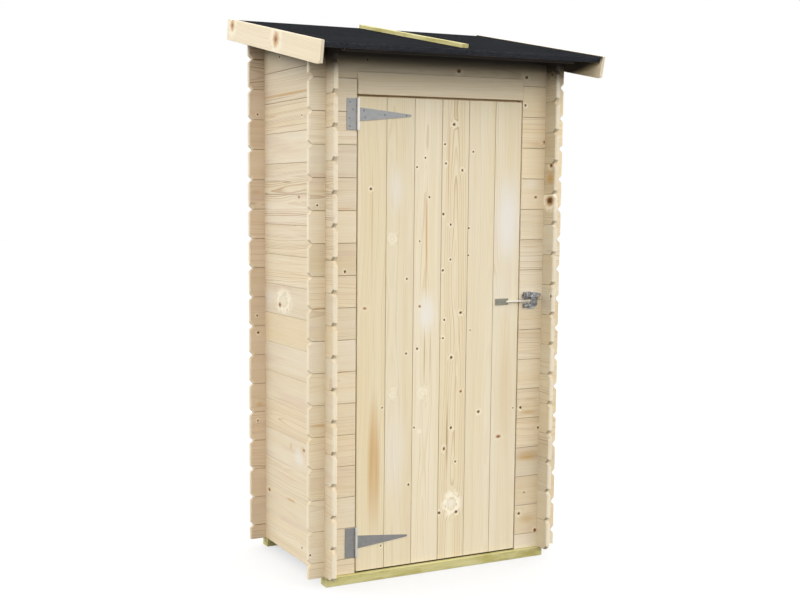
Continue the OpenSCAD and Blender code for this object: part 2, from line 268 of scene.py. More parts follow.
# How dark a crevice is painted, up to 1; below 0 it is painted bright. Over and under tell on
# which side of the gap the face is. Joints are dark partly from dirt and partly as painted shade,
# on the side walls more on faces that look down; a notch's mouth and its upward faces get painted
# shade, its downward faces painted light, and the boards' ends painted light over their paler end
# grain.
SIDE_JOINT_OVER, SIDE_JOINT_UNDER = 0.8, 0.3
NOTCH_MOUTH, NOTCH_OVER, NOTCH_UNDER, BOARD_END = 0.7, -0.9, 0.45, -0.45


def knots(kind, *rows):
    """Knots from rows of place and radius, or two radii, in millimetres.

    A dead knot is dark, a sound one red brown, and a ghost only a bright swirl.
    """
    return [(Vector(row[:2]) * MM, Vector((row[2], row[-1])) * MM, kind) for row in rows]


def stains(*rows):
    """Stains from rows of place, two reaches and strength.

    A negative strength is pale, and one over 1 is a brown streak of the rest.
    """
    return [(Vector(row[:2]) * MM, Vector(row[2:4]) * MM, row[4]) for row in rows]


class Timber:
    """Boards that are joined into one mesh. The shader reads their attributes."""

    def __init__(self, seed, own_knots=(), own_stains=()):
        self.random = random.Random(seed)
        self.knots = own_knots
        self.stains = own_stains
        self.points = []
        self.faces = []
        names = ["grain", "tone", "edge", "knot_kind"]
        names += [f"knot_{i}" for i in range(KNOT_SLOTS)]
        names += [f"stain_{i}" for i in range(STAIN_SLOTS)]
        self.values = {name: [] for name in names}

    def scatter(self, low, high, count):
        """Random knots over one board."""
        found = []
        for _ in range(count):
            row = [
                self.random.uniform(low[i] / MM + SCATTER_MARGIN, high[i] / MM - SCATTER_MARGIN)
                for i in (0, 1)
            ]
            kind = self.random.choice((DEAD, DEAD, SOUND))
            found += knots(kind, (*row, self.random.uniform(3, 7)))
        return found

    def add(self, solid, place, along=0, tone=None, pith=None, out_of_painted_shade=None, lighter=0):
        """Adds a board whose grain runs along one of its plane's two directions.

        Its function of painted shade tells how far a point lies from the shade painted under the
        roof, in the door's gap and on the barge boards' inner faces: 0 in it, 1 clear of it.
        """
        across = 1 - along
        bmesh.ops.recalc_face_normals(solid, faces=solid.faces)
        low, high = extent([vertex.co for vertex in solid.verts])
        shift = self.random.uniform(0, 60)
        warmth = self.random.uniform(-1, 1)
        light = self.random.uniform(-1, 1)
        contrast = self.random.uniform(0.1, 1) ** 1.5 * 1.3
        if tone:
            warmth, light, contrast = tone
        light += lighter
        side = self.random.uniform(-0.9, 0.9) * (high[across] - low[across])
        depth = self.random.uniform(15, 70) * MM * self.random.choice((-1, 1))
        if pith:
            side, depth = (value * MM for value in pith)
        centre = Vector((0, 0, depth))
        centre[across] = (low[across] + high[across]) / 2 + side

        def own(marks):
            return [mark for mark in marks if all(low[i] <= mark[0][i] <= high[i] for i in (0, 1))]

        board_knots = own(self.knots)
        if not self.knots:
            chance = LOOSE_KNOTS * (high[along] - low[along])
            number = int(chance) + (self.random.random() < chance % 1)
            board_knots = self.scatter(low, high, number)
        board_stains = own(self.stains)
        reaches = [(at[along], radii[along] * KNOT_REACH) for at, radii, _ in board_knots]
        reaches += [(at[along], radii[along]) for at, radii, _ in board_stains]
        for cut in sorted(at + sign * reach for at, reach in reaches for sign in (-1, 1)):
            self.cut(solid, along, cut)

        edge = solid.faces.layers.int["edge"]
        flip = place.determinant() < 0
        inward_x = place[0][2]
        first = len(self.points)
        solid.verts.index_update()
        self.points += [place @ vertex.co for vertex in solid.verts]
        for face in solid.faces:
            loops = list(face.loops)[::-1] if flip else list(face.loops)
            self.faces.append([first + loop.vert.index for loop in loops])
            middle = face.calc_center_bounds()
            shown = self.near(board_knots, middle, along, KNOT_REACH)
            shown.sort(key=lambda knot: abs(middle[across] - knot[0][across]) / knot[1][across])
            shown = shown[:KNOT_SLOTS]
            kinds = [kind for _, _, kind in shown] + [DEAD] * (KNOT_SLOTS - len(shown))
            sized = [(at, radii, max(radii)) for at, radii, _ in shown]
            stained = self.near(board_stains, middle, along, 1)
            for loop in loops:
                spot = loop.vert.co
                grain = spot - centre
                grain[along] += shift
                self.values["grain"].append((grain[along], grain[across], grain.z))
                self.values["tone"].append((warmth, light, contrast))
                self.values["knot_kind"].append(kinds)
                self.note_marks("knot", KNOT_SLOTS, spot, sized)
                self.note_marks("stain", STAIN_SLOTS, spot, stained)
                outwards = (spot.z - (low.z + high.z) / 2) * inward_x
                depth = min(spot.z - low.z, high.z - spot.z)
                # Painted shade and light in joints, notches and at the boards' ends, with some
                # dirt in the joints
                crevice = 0
                if face[edge] == IN_JOINT:
                    crevice = min(depth / WALL_BEVEL, 1)
                    if inward_x:
                        crevice *= SIDE_JOINT_OVER if face.normal.y < 0 else SIDE_JOINT_UNDER
                elif face[edge] == NOTCHED and face.normal.y > 0:
                    crevice = NOTCH_UNDER
                elif face[edge] == NOTCHED:
                    mouth = face.normal.y < 0 and outwards < SHOULDER - WALL / 2
                    crevice = NOTCH_MOUTH if mouth else NOTCH_OVER
                elif face[edge] == WORN and abs(face.normal[along]) > 0.5:
                    crevice = BOARD_END
                # Painted shade under the roof, in the door's gap and on the barge boards' inner
                # faces
                clear = out_of_painted_shade(place @ spot, face.normal.z > 0.5) if out_of_painted_shade else 1
                self.values["edge"].append((crevice, face[edge] == WORN, clear))
        solid.free()

    @staticmethod
    def near(marks, spot, along, reach):
        return [
            mark for mark in marks if abs(spot[along] - mark[0][along]) < mark[1][along] * reach
        ]

    def note_marks(self, name, slots, spot, marks):
        """Notes where a point lies from each mark, in its radii, and the mark's last value."""
        for i in range(slots):
            place = NO_MARK
            if i < len(marks):
                at, radii, last = marks[i]
                place = ((spot.x - at.x) / radii.x, (spot.y - at.y) / radii.y, last)
            self.values[f"{name}_{i}"].append(place)

    @staticmethod
    def cut(solid, along, at):
        normal = Vector((0, 0, 0))
        normal[along] = 1
        bmesh.ops.bisect_plane(
            solid,
            geom=solid.verts[:] + solid.edges[:] + solid.faces[:],
            dist=1e-7,
            plane_co=normal * at,
            plane_no=normal,
        )

    def piece(self, name, material, body, slot, *nodes):
        mesh = bpy.data.meshes.new(name)
        mesh.from_pydata(self.points, [], self.faces)
        for attribute, values in self.values.items():
            layer = mesh.attributes.new(attribute, "FLOAT_VECTOR", "CORNER")
            layer.data.foreach_set("vector", [number for value in values for number in value])
        return place_piece(name, mesh, material, body, slot, *nodes)


def mesh_of(name, solid):
    """Turns a finished solid into a mesh whose faces look outwards."""
    bmesh.ops.recalc_face_normals(solid, faces=solid.faces)
    mesh = bpy.data.meshes.new(name)
    solid.to_mesh(mesh)
    solid.free()
    return mesh


def place_piece(name, mesh, material, body, slot, *nodes):
    """Links a finished mesh, which rides on a body and stands for CAD nodes."""
    mesh.materials.append(material)
    piece = bpy.data.objects.new(name, mesh)
    bpy.context.scene.collection.objects.link(piece)
    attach(piece, body)
    if nodes:
        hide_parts(*nodes)
    return piece


# ---- Materials ----
def paint(red, green, blue):
    """A colour named by its display values, from 0 to 255."""
    return tuple(
        value / 255 / 12.92 if value <= 10 else ((value / 255 + 0.055) / 1.055) ** 2.4
        for value in (red, green, blue)
    ) + (1,)


class Nodes:
    """One material's node tree. Each method returns the socket to go on with.

    A colour of three numbers is given by its display values.
    """

    def __init__(self, name):
        self.material = bpy.data.materials.new(name)
        self.material.use_nodes = True
        self.tree = self.material.node_tree
        self.shader = self.tree.nodes["Principled BSDF"]

    def feed(self, socket, value):
        if isinstance(value, bpy.types.NodeSocket):
            self.tree.links.new(value, socket)
            return
        if socket.type == "RGBA" and len(value) == 3:
            value = paint(*value)
        socket.default_value = value

    def add(self, kind, inputs, output=0, **settings):
        node = self.tree.nodes.new("ShaderNode" + kind)
        for setting, value in settings.items():
            setattr(node, setting, value)
        for socket, value in inputs.items():
            self.feed(node.inputs[socket], value)
        return node.outputs[output]

    def attribute(self, name):
        return self.add("Attribute", {}, "Vector", attribute_name=name)

    def split(self, vector):
        return self.add("SeparateXYZ", {0: vector}).node.outputs[:]

    def calc(self, operation, *values):
        return self.add("Math", dict(enumerate(values)), operation=operation)

    def times(self, *values):
        return self.calc("MULTIPLY", *values)

    def linear(self, value, factor, offset):
        return self.calc("MULTIPLY_ADD", value, factor, offset)

    def vector(self, operation, *values):
        output = "Value" if operation == "LENGTH" else "Vector"
        return self.add("VectorMath", dict(enumerate(values)), output, operation=operation)

    def noise(self, vector, stretch, detail=2, rough=0.5, output="Fac"):
        """Noise whose scale is given for each direction, in waves per metre."""
        place = self.vector("MULTIPLY", vector, stretch)
        inputs = {"Vector": place, "Scale": 1, "Detail": detail, "Roughness": rough}
        return self.add("TexNoise", inputs, output)

    def ease(self, value, start, end, low=0, high=1):
        """Goes smoothly from low to high as the value goes from start to end."""
        inputs = {0: value, 1: start, 2: end, 3: low, 4: high}
        return self.add("MapRange", inputs, interpolation_type="SMOOTHSTEP")

    def blend(self, amount, first, second, kind="MIX"):
        inputs = {0: amount, 6: first, 7: second}
        return self.add("Mix", inputs, 2, data_type="RGBA", blend_type=kind)

    def bump(self, height, distance, strength=1):
        inputs = {"Height": height, "Distance": distance, "Strength": strength}
        return self.add("Bump", inputs)

    def finish(self, colour, roughness, normal=None, **constants):
        self.feed(self.shader.inputs["Base Color"], colour)
        self.feed(self.shader.inputs["Roughness"], roughness)
        if normal:
            self.feed(self.shader.inputs["Normal"], normal)
        for name, value in constants.items():
            self.shader.inputs[name.replace("_", " ")].default_value = value
        return self.material


def draw_knot(n, colour, away, size, kind, patchy):
    """Paints one knot over the wood's colour; away is the distance in its radii."""
    sound = n.calc("COMPARE", kind, SOUND, 0.5)
    ghost = n.calc("COMPARE", kind, GHOST, 0.5)
    ring = n.times(n.ease(away, 1.0, 1.4), n.ease(away, 3.0, 1.5))
    swirl = n.times(ghost, n.ease(away, 1.3, 0.5))
    bright = n.linear(sound, -0.4, 0.6)
    bright = n.calc("ADD", bright, n.ease(size, 14 * MM, 18 * MM, 0, 0.5))
    ring = n.times(n.times(ring, patchy), bright)
    halo = n.calc("MAXIMUM", ring, n.times(swirl, 0.5))
    colour = n.blend(halo, colour, (250, 240, 216))

    def disc(start, end, middle, rim):
        return n.blend(n.ease(away, start, end), middle, rim)

    dead = disc(0.2, 0.9, (84, 60, 36), (140, 110, 72))
    wide = disc(0.3, 0.8, (96, 64, 38), (172, 126, 78))
    dead = n.blend(n.ease(size, 6 * MM, 8 * MM), dead, wide)
    red = disc(0.1, 0.7, (100, 62, 44), (200, 156, 116))
    broad = disc(0, 0.8, (140, 94, 62), (216, 176, 132))
    red = n.blend(n.ease(size, 14 * MM, 18 * MM), red, broad)
    body = n.blend(sound, dead, red)
    solid = n.times(n.ease(away, 1.2, 0.65), n.calc("SUBTRACT", 1, ghost))
    return n.blend(solid, colour, body)


def late_blush(late, pale):
    """The pinkish tone of some patches, between a wood's pale and its dark colour."""
    pairs = zip(paint(*late), paint(*pale))
    mixed = [low + (high - low) * 0.62 for low, high in pairs]
    return (mixed[0] * 1.04, mixed[1] * 0.97, mixed[2] * 1.02, 1)


def wood(name, pale, warm, late, lines=0.8, fibre=0.5, mottle=None):
    """Softwood cut from a log: rings round a pith, fibres, knots and stains.

    pale and warm are the limits of its tone, late is the colour of the dark
    half of a ring, and mottle a second colour that comes in cloudy patches.
    """
    n = Nodes(name)
    grain = n.attribute("grain")
    warmth, light, contrast = n.split(n.attribute("tone"))
    sway = n.noise(grain, (1.6, 0, 0), 1, output="Color")
    sway = n.vector("SUBTRACT", sway, (0.5, 0.5, 0.5))
    path = n.vector("MULTIPLY_ADD", sway, (0, 0.045, 0.03), grain)
    length = n.split(path)[0]
    rings = n.vector("LENGTH", n.vector("MULTIPLY", path, (0, 1, 1)))
    rings = n.linear(length, 0.01, rings)
    rings = n.linear(n.noise(grain, (5, 30, 30), 2), 0.006, rings)

    # Knots push the rings outwards, but not by more than a few rings
    shake = n.linear(n.noise(grain, (160, 160, 160), 3), 1, -0.5)
    marks = []
    for i in range(KNOT_SLOTS):
        mark = n.attribute(f"knot_{i}")
        size = n.split(mark)[2]
        away = n.vector("LENGTH", n.vector("MULTIPLY", mark, (1, 1, 0)))
        pull = n.calc("POWER", n.ease(away, KNOT_REACH, 0), 2)
        pull = n.times(pull, n.calc("MINIMUM", size, 4.5 * MM))
        rings = n.linear(pull, 2.6, rings)
        marks.append((n.calc("ADD", away, shake), size))

    phase = n.calc("DIVIDE", rings, RING)
    part = n.calc("FRACT", phase)
    year = n.add("TexWhiteNoise", {"W": n.calc("FLOOR", phase)}, noise_dimensions="1D")
    dark = n.times(n.ease(part, 0.35, 0.93), n.ease(part, 1.0, 0.94))
    dark = n.times(dark, n.ease(year, 0.25, 1, 0.25, 1))
    dark = n.times(dark, n.times(contrast, lines))
    fibres = n.noise(grain, (6, 420, 420), 3, 0.6)
    bands = n.noise(grain, (0.9, 28, 28), 2)

    tone = n.linear(warmth, 0.3, 0.5)
    tone = n.calc("ADD", tone, n.linear(bands, 1.1, -0.55))
    tone = n.add("Clamp", {0: tone})
    colour = n.blend(tone, pale, warm)
    blush = n.ease(n.noise(grain, (2.5, 24, 24), 2), 0.52, 0.7, 0, 0.55)
    blush = n.times(blush, n.ease(light, 1, -1))
    colour = n.blend(blush, colour, late_blush(late, pale))
    if mottle:
        patches = n.ease(n.noise(grain, (7, 30, 30), 4, 0.65), 0.42, 0.62)
        colour = n.blend(patches, colour, mottle)
    colour = n.blend(dark, colour, late)
    streak = n.ease(fibres, 0.35, 0.8, 0, fibre * 0.35)
    colour = n.blend(streak, colour, late)

    for i in range(STAIN_SLOTS):
        across, tall, strength = n.split(n.attribute(f"stain_{i}"))
        whitish = n.calc("LESS_THAN", strength, 0)
        stain = n.vector("LENGTH", n.add("CombineXYZ", {0: across, 1: tall}))
        streaky = n.calc("GREATER_THAN", strength, 1)
        strength = n.calc("SUBTRACT", n.calc("ABSOLUTE", strength), streaky)
        amount = n.times(n.ease(stain, 1, 0.15), strength)
        amount = n.times(amount, n.ease(bands, 0.3, 0.6, 0.55, 1))
        stain_colour = n.blend(streaky, (204, 162, 100), (154, 112, 68))
        stain_colour = n.blend(whitish, stain_colour, (238, 231, 219))
        colour = n.blend(n.add("Clamp", {0: amount}), colour, stain_colour)

    kinds = n.split(n.attribute("knot_kind"))
    patchy = n.ease(n.noise(grain, (40, 40, 40), 2), 0.32, 0.55)
    for (away, size), kind in zip(marks, kinds):
        colour = draw_knot(n, colour, away, size, kind, patchy)

    shade = n.linear(light, 0.045, 1)
    level = n.add("CombineColor", {0: shade, 1: shade, 2: shade})
    colour = n.blend(1, colour, level, "MULTIPLY")
    crevice, worn, clear = n.split(n.attribute("edge"))
    colour = n.blend(n.times(worn, n.ease(fibres, 0.3, 0.7, 0.1, 0.5)), colour, pale)
    # Painted light where the crevice value is below 0, partly paler end grain
    colour = n.blend(n.ease(crevice, 0, -1, 0, 0.9), colour, (255, 242, 214))
    # Dark joints, partly dirt and partly painted shade in joints and notches
    colour = n.blend(n.ease(crevice, 0.1, 1, 0, 0.6), colour, (134, 106, 70))
    # Painted shade, near black: under the roof, in the door's gap and on the barge boards' inner
    # faces
    colour = n.blend(n.ease(clear, 1, 0, 0, 0.97), colour, (28, 23, 20))
    height = n.linear(dark, 0.7, n.times(fibres, 0.5))
    roughness = n.ease(fibres, 0.2, 0.8, 0.62, 0.78)
    return n.finish(colour, roughness, n.bump(height, 0.25 * MM), Specular_IOR_Level=0.3)


def roofing_felt(name):
    """Bitumen felt with slate granules. Its top is painted darker than its folds, as shade against
    the stronger light on it.
    """
    n = Nodes(name)
    place = n.add("TexCoord", {}, "Object")
    facing_up = n.split(n.add("NewGeometry", {}, "Normal"))[2]
    grit = n.split(n.add("TexVoronoi", {"Vector": place, "Scale": 650}, "Color"))[0]
    fine = n.noise(place, (1400, 1400, 1400), 2, 0.7)
    cloud = n.noise(place, (3, 7, 7), 3, 0.6)
    colour = n.blend(n.ease(cloud, 0.3, 0.7), (45, 46, 50), (54, 55, 58))
    colour = n.blend(n.ease(grit, 0.6, 1.0), colour, (76, 78, 84))
    colour = n.blend(n.ease(grit, 0.25, 0.0), colour, (27, 28, 30))
    # Painted shade: the upward faces are darker
    shaded_top = n.blend(1, colour, (196, 197, 195), "MULTIPLY")
    colour = n.blend(n.ease(facing_up, 0.3, 0.9), colour, shaded_top)
    height = n.calc("ADD", grit, fine)
    return n.finish(colour, 0.95, n.bump(height, 0.5 * MM), Specular_IOR_Level=0.0)


def galvanised(name, dark, light, mottled, proud=None):
    """Zinc with faint spangles and small marks, and a painted highlight where it stands proud."""
    n = Nodes(name)
    place = n.add("TexCoord", {}, "Object")
    cells = n.split(n.add("TexVoronoi", {"Vector": place, "Scale": 120}, "Color"))[0]
    cloud = n.noise(place, (60, 60, 60), 4, 0.65)
    mix = n.linear(cells, mottled, n.times(cloud, 1 - mottled))
    colour = n.blend(n.ease(mix, 0.2, 0.8), dark, light)
    marks = n.ease(n.noise(place, (220, 220, 220), 3), 0.68, 0.78)
    colour = n.blend(n.times(marks, mottled), colour, (104, 104, 104))
    if proud:
        # Painted highlight on what stands more than 3.2 mm before the wall's face
        past = n.calc("SUBTRACT", FACE - 3.2 * MM, n.split(place)[1])
        colour = n.blend(n.ease(past, 0, 1 * MM), colour, proud)
    roughness = n.ease(cloud, 0.3, 0.7, 0.4, 0.52)
    normal = n.bump(cloud, 0.15 * MM, 0.4)
    return n.finish(colour, roughness, normal, Metallic=0.4)


WALL_WOOD = wood("wall_spruce", (237, 226, 203), (230, 211, 173), (188, 152, 111))
BACK_WOOD = wood("back_wall_spruce", (232, 216, 194), (222, 200, 168), (178, 144, 112))
RIGHT_WOOD = wood("right_wall_spruce", (229, 221, 201), (221, 206, 171), (178, 147, 110))
DOOR_WOOD = wood("door_spruce", (240, 230, 208), (232, 216, 176), (196, 160, 106), 0.75, 0.4)
INNER_WOOD = wood("inner_spruce", (222, 206, 178), (208, 184, 142), (168, 130, 88), 0.8, 0.8)
BARGE_WOOD = wood("barge_spruce", (244, 233, 212), (238, 222, 188), (214, 186, 142), 0.6, 0.4)
TREATED_WOOD = wood(
    "treated_pine", (220, 214, 160), (202, 192, 126), (156, 142, 76), 0.6, 0.8, (184, 174, 104)
)
# Near-black wood for the roof deck and the eave batten, as painted shade under the eave
SHADE_DARK_WOOD = wood("shade_darkened_spruce", (64, 58, 52), (54, 46, 38), (36, 30, 24), 0.6)
FELT = roofing_felt("mineral_felt")
# A zinc's last colour is its painted highlight where it stands proud
ZINC = galvanised("zinc", (157, 158, 159), (169, 169, 169), 0.1, (250, 247, 240))
LOW_ZINC = galvanised("aged_zinc", (128, 128, 127), (142, 141, 140), 0.15, (206, 206, 202))
STRIKER_ZINC = galvanised("dull_zinc", (134, 132, 118), (150, 147, 132), 0.3, (240, 234, 222))
CAST_ZINC = galvanised("cast_zinc", (112, 113, 117), (192, 194, 198), 0.5)
SCREW_ZINC = galvanised("screw_zinc", (126, 126, 126), (150, 150, 147), 0.4)
FLUSH_ZINC = galvanised("flush_zinc", (141, 143, 144), (152, 153, 153), 0.2)


# ---- Walls ----
# Knots and stains are placed in millimetres from the wall's middle and over its underside
LEFT_KNOTS = knots(DEAD, (-85, 1665, 4), (-86, 55, 5), (117, 1893, 6, 5)) + knots(
    SOUND, (-60, 1370, 9, 6), (118, 958, 14, 11), (225, 208, 12, 8), (-105, 432, 10, 7)
) + knots(GHOST, (84, 974, 34, 20))
LEFT_STAINS = stains(
    (15, 214, 60, 7, 0.8), (225, 207, 26, 8, 0.7), (-60, 395, 62, 46, -0.8),
    (-95, 432, 24, 22, 0.45), (14, 425, 16, 22, 0.4), (40, 1751, 460, 8, 0.8),
    (160, 1740, 260, 3, 1.5), (40, 1712, 400, 3, 1.3), (60, 1634, 320, 3, 1.3),
    (190, 1674, 60, 6, 0.5), (50, 1426, 60, 6, 1.5), (-70, 1446, 120, 4, 1.35),
    (170, 1430, 130, 5, 1.5), (120, 1462, 200, 3, 1.25),
    (60, 590, 260, 4, 0.3), (-40, 1085, 200, 4, 0.35), (0, 1124, 240, 5, 0.3),
    (-330, 700, 20, 60, 0.4), (220, 975, 60, 40, -0.5),
)
FRONT_LEFT_KNOTS = knots(DEAD, (-395, 1107, 5), (-530, 90, 4), (-504, 1342, 4))
FRONT_LEFT_STAINS = stains(
    (-496, 978, 60, 7, 0.9), (-496, 560, 58, 8, 1), (-400, 1330, 60, 4, 0.5),
    (-470, 1390, 90, 5, 0.4), (-400, 745, 90, 4, 0.4), (-460, 640, 90, 4, 0.35),
)
FRONT_RIGHT_KNOTS = knots(
    DEAD, (361, 1712, 5), (366, 561, 6), (451, 475, 6, 5), (368, 141, 6), (446, 66, 8, 7)
) + knots(SOUND, (451, 1577, 9, 6), (416, 1369, 8, 6), (390, 223, 6, 4))
FRONT_RIGHT_STAINS = stains(
    (404, 370, 84, 30, 0.85), (402, 540, 60, 12, 0.7), (410, 590, 50, 8, 0.4),
    (405, 118, 50, 30, 0.5), (408, 1568, 50, 9, 0.4), (400, 1180, 60, 5, 0.4),
    (420, 985, 40, 12, 0.5), (395, 650, 60, 5, 0.4), (400, 1420, 50, 26, -0.4),
)
FRONT_TOP_KNOTS = knots(DEAD, (66, 1826, 8, 7), (364, 1815, 7, 6), (-310, 1850, 4))
RIGHT_KNOTS = knots(
    DEAD, (-326, 1489, 10, 8), (-322, 1356, 22, 17), (-342, 994, 6), (80, 1210, 7), (10, 1710, 5)
) + knots(SOUND, (-320, 1826, 9, 6), (-140, 640, 6), (150, 330, 9, 6))
RIGHT_STAINS = stains((-322, 1438, 30, 30, 0.9), (-325, 1165, 34, 6, 1.4))
BACK_KNOTS = knots(
    DEAD, (-507, 904, 4), (-503, 836, 5), (-506, 483, 4), (-502, 1688, 4), (230, 1190, 6),
    (-260, 300, 6), (120, 1850, 6),
) + knots(SOUND, (-120, 1510, 7), (40, 760, 8, 6), (330, 540, 5))
BACK_STAINS = stains((-509, 1387, 34, 16, 0.5), (-497, 548, 26, 16, 0.6))


def fit_under_roof(solid, place, high):
    """Raises the top edge of a front or back board to the sloping deck."""
    for vertex in solid.verts:
        if vertex.co.y > high - 2 * EASE:
            y = (place @ vertex.co).y
            vertex.co.y += deck_z(y) - BASE - high


def painted_eave_shade(start, end):
    """Painted shade under the roof deck, on what it rests on. It fades between two depths under
    the deck.
    """
    return lambda point, _: (deck_z(point.y) - point.z - start * MM) / ((end - start) * MM)


# Courses that are lighter or darker than chance made them. The left wall's top courses are darker
# also as painted shade under the roof.
LEFT_SHADES = {16: -1.5, 15: -0.4, 13: -0.9, 11: 0.6, 10: 0.5, 9: 0.4, 1: -0.7, 0: -0.3}
FRONT_LEFT_SHADES = {
    13: -0.5, 11: -0.6, 10: -0.7, 9: 0.7, 7: -0.7, 5: 0.6, 4: 0.6, 3: 0.3, 2: -0.8, 1: -0.8,
}
FRONT_RIGHT_SHADES = {
    15: 2.6, 14: 2.5, 13: 2.3, 12: 1.4, 11: 0.8, 9: 1, 7: 1.2, 4: 1.3, 3: -1.5, 1: 0.4,
}


def make_side_wall(name, node, place, seed, own_knots, own_stains, material=WALL_WOOD, shades={}):
    """Side boards, cut off under the sloping deck."""
    boards = Timber(seed, own_knots, own_stains)
    roof_point = (FACE - MIDDLE, EAVE_Z - BASE)
    under_roof = (math.sin(PITCH), -math.cos(PITCH))
    courses = math.ceil((left_high.z - BASE) / COURSE)
    for k in range(courses):
        outline = wall_board(k * COURSE, SIDE_REACH, MIDDLE - FACE)
        outline = clip(outline, roof_point, under_roof)
        if outline:
            solid = slab(outline, board_layers(WALL))
            # Painted shade under the roof on the wall's top
            boards.add(solid, place, out_of_painted_shade=painted_eave_shade(33, 106), lighter=shades.get(k, 0))
    boards.piece(name, material, "shed", "wall_boards", node)


def make_cross_wall(
    name, node, place, seed, courses, cuts, own_knots, own_stains=(), recess=0,
    material=WALL_WOOD, shades={},
):
    """Front or back boards: they stand on a half board, and cuts trim their outlines."""
    boards = Timber(seed, own_knots, own_stains)
    for k in courses:
        low = (k - 0.5) * COURSE
        high = low + COURSE
        last = abs(deck_z(place.translation.y) - BASE - high) < COURSE / 4
        outline = wall_board(low, CROSS_REACH, HALF_W, "free" if last else "joint")
        outline = clip(outline, (0, 0), (0, 1))
        if recess:
            outline = with_recess(outline, DOORWAY, recess)
        for point, normal in cuts:
            outline = clip(outline, point, normal)
        solid = slab(outline, board_layers(WALL))
        if last:
            fit_under_roof(solid, place, high)
        # Painted shade under the roof on the wall's top
        boards.add(solid, place, out_of_painted_shade=painted_eave_shade(28, 68), lighter=shades.get(k, 0))
    boards.piece(name, material, "shed", "wall_boards", node)


make_side_wall(
    "left_wall_boards", "left_wall", LEFT, 11, LEFT_KNOTS, LEFT_STAINS, shades=LEFT_SHADES
)
make_side_wall(
    "right_wall_boards", "right_wall", RIGHT, 12, RIGHT_KNOTS, RIGHT_STAINS, RIGHT_WOOD
)
make_cross_wall(
    "back_wall_boards", "back_wall", BACK, 13, range(18), (), BACK_KNOTS, BACK_STAINS,
    material=BACK_WOOD,
)
make_cross_wall(
    "front_left_boards", "front_wall_left", FRONT, 14, range(16),
    [((-DOORWAY, 0), (-1, 0))], FRONT_LEFT_KNOTS, FRONT_LEFT_STAINS,
    shades=FRONT_LEFT_SHADES,
)
make_cross_wall(
    "front_right_boards", "front_wall_right", FRONT, 15, range(16),
    [((DOORWAY, 0), (1, 0))], FRONT_RIGHT_KNOTS, FRONT_RIGHT_STAINS,
    shades=FRONT_RIGHT_SHADES,
)
make_cross_wall(
    "front_top_board", "front_wall_top", FRONT, 16, [16], (), FRONT_TOP_KNOTS,
    recess=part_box("door_head_board")[1].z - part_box("front_wall_top")[0].z,
)


# ---- Door ----
# Tone and pith of each board
DOOR_LOOKS = [
    ((0.6, 0.5, 0.55), (70, 40)), ((0.1, 0.1, 0.35), (-30, 60)), ((-0.2, 0.9, 0.6), (-10, 30)),
    ((0.3, 0.9, 1.0), (5, 22)), ((0.0, 0.4, 0.45), (40, 60)), ((-0.3, 0.3, 0.35), (-60, 50)),
]
# Places from the door's middle and over the walls' underside
DOOR_KNOTS = knots(
    DEAD,
    (-293, 1399, 5), (-241, 606, 4), (-243, 89, 4),
    (-143, 1074, 4.5), (-143, 800, 4.5), (-128, 308, 4.5),
    (-71, 1512, 4), (-105, 1478, 4), (-97, 815, 5), (-106, 521, 4), (-52, 1370, 4),
    (49, 1634, 6), (11, 1561, 4), (17, 1492, 4.5), (87, 1468, 5), (8, 1308, 5),
    (40, 1269, 4.5), (41, 1140, 4), (9, 1101, 5), (88, 941, 6), (18, 917, 4.5),
    (13, 849, 4.5), (50, 774, 6), (53, 508, 5.5), (24, 430, 5, 8),
    (74, 376, 4.5), (6, 185, 6), (81, 181, 6.5),
    (133, 1536, 4), (119, 1255, 3.5), (119, 1154, 3.5), (331, 562, 3), (174, 559, 7, 6),
) + knots(
    SOUND,
    (-315, 973, 8, 6), (-88, 971, 6), (-91, 1210, 4), (94, 643, 6), (132, 873, 3),
    (266, 456, 13, 7),
) + knots(
    GHOST,
    (-197, 658, 8, 9), (-71, 647, 9, 10), (-205, 1220, 9, 10), (-83, 505, 4),
    (60, 215, 18, 22),
)
DOOR_STAINS = stains(
    (-274, 385, 34, 340, 1.0), (-190, 1400, 50, 120, -0.55), (-190, 440, 80, 250, -0.45),
    (-60, 945, 62, 110, -0.9), (-62, 1230, 5, 300, 0.9), (-66, 785, 4, 150, 1.5),
    (-41, 785, 4, 140, 1.4), (290, 1280, 90, 240, -1), (270, 1010, 80, 120, -0.35),
    (300, 640, 70, 330, 0.2), (28, 1500, 4, 260, 0.7), (70, 640, 4, 300, 0.7),
    (36, 470, 6, 170, 1.6), (-287, 1250, 4, 320, 0.5), (52, 218, 34, 22, -0.8),
)


def make_board_row(name, node, place, width, timber, material, body, slot, looks=(), **joints):
    """Tongued boards side by side, which run up their plane and fill a CAD slab."""
    low, high = box_in(node, place)
    count = round((high.x - low.x) / width)
    step = (high.x - low.x) / count
    layers = board_layers(high.z - low.z, **joints)
    for i in range(count):
        start = low.x + i * step
        left, right = ("joint" if inside else "free" for inside in (i > 0, i < count - 1))
        outline = rectangle((start, low.y), (start + step, high.y), left, right)
        tone, pith = looks[i] if looks else (None, None)
        timber.add(slab(outline, layers, low.z), place, 1, tone, pith)
    timber.piece(name, material, body, slot, node)


def make_stick(
    node, place, along, seed, material, slot, body="shed", ease=1.5 * MM, cuts=(), out_of_painted_shade=None
):
    """A single length of timber in place of a CAD node."""
    low, high = box_in(node, place)
    timber = Timber(seed)
    solid = stick(low, high, ease)
    for direction, at in cuts:
        Timber.cut(solid, direction, at)
    timber.add(solid, place, along, out_of_painted_shade=out_of_painted_shade)
    timber.piece(node + "_timber", material, body, slot, node)


